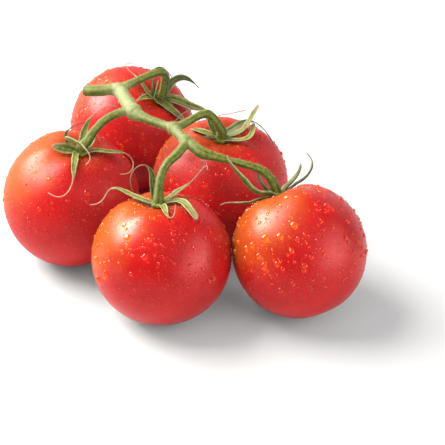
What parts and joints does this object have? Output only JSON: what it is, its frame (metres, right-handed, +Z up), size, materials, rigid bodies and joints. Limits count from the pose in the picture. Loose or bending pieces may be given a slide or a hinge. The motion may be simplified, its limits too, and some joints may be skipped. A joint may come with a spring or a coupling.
{
  "type": "tomato truss",
  "caption": "Ripe red truss tomatoes still joined by their green vine, with curling sepals, resting on their undersides.",
  "frame": {"origin": "under the middle of the truss, on the surface that it rests on", "axes": "+Z up, +X to the right and +Y away from the viewer in the picture"},
  "size_m": [0.1702, 0.1741, 0.0763],
  "materials": {
    "tomato_skin": "smooth waxy red skin, orange round the stem end",
    "vine_green": "matt green stem with fine hairs",
    "sepal_green": "matt green leaf with pale edges and dry tips"
  },
  "bodies": {
    "root": {"vine": "vine_green", "calyx_front": "sepal_green", "calyx_left": "sepal_green", "calyx_right": "sepal_green", "calyx_back": "sepal_green", "calyx_middle": "sepal_green", "tomato_front": "tomato_skin", "tomato_left": "tomato_skin", "tomato_right": "tomato_skin", "tomato_back": "tomato_skin", "tomato_middle": "tomato_skin"}
  },
  "joints": []
}
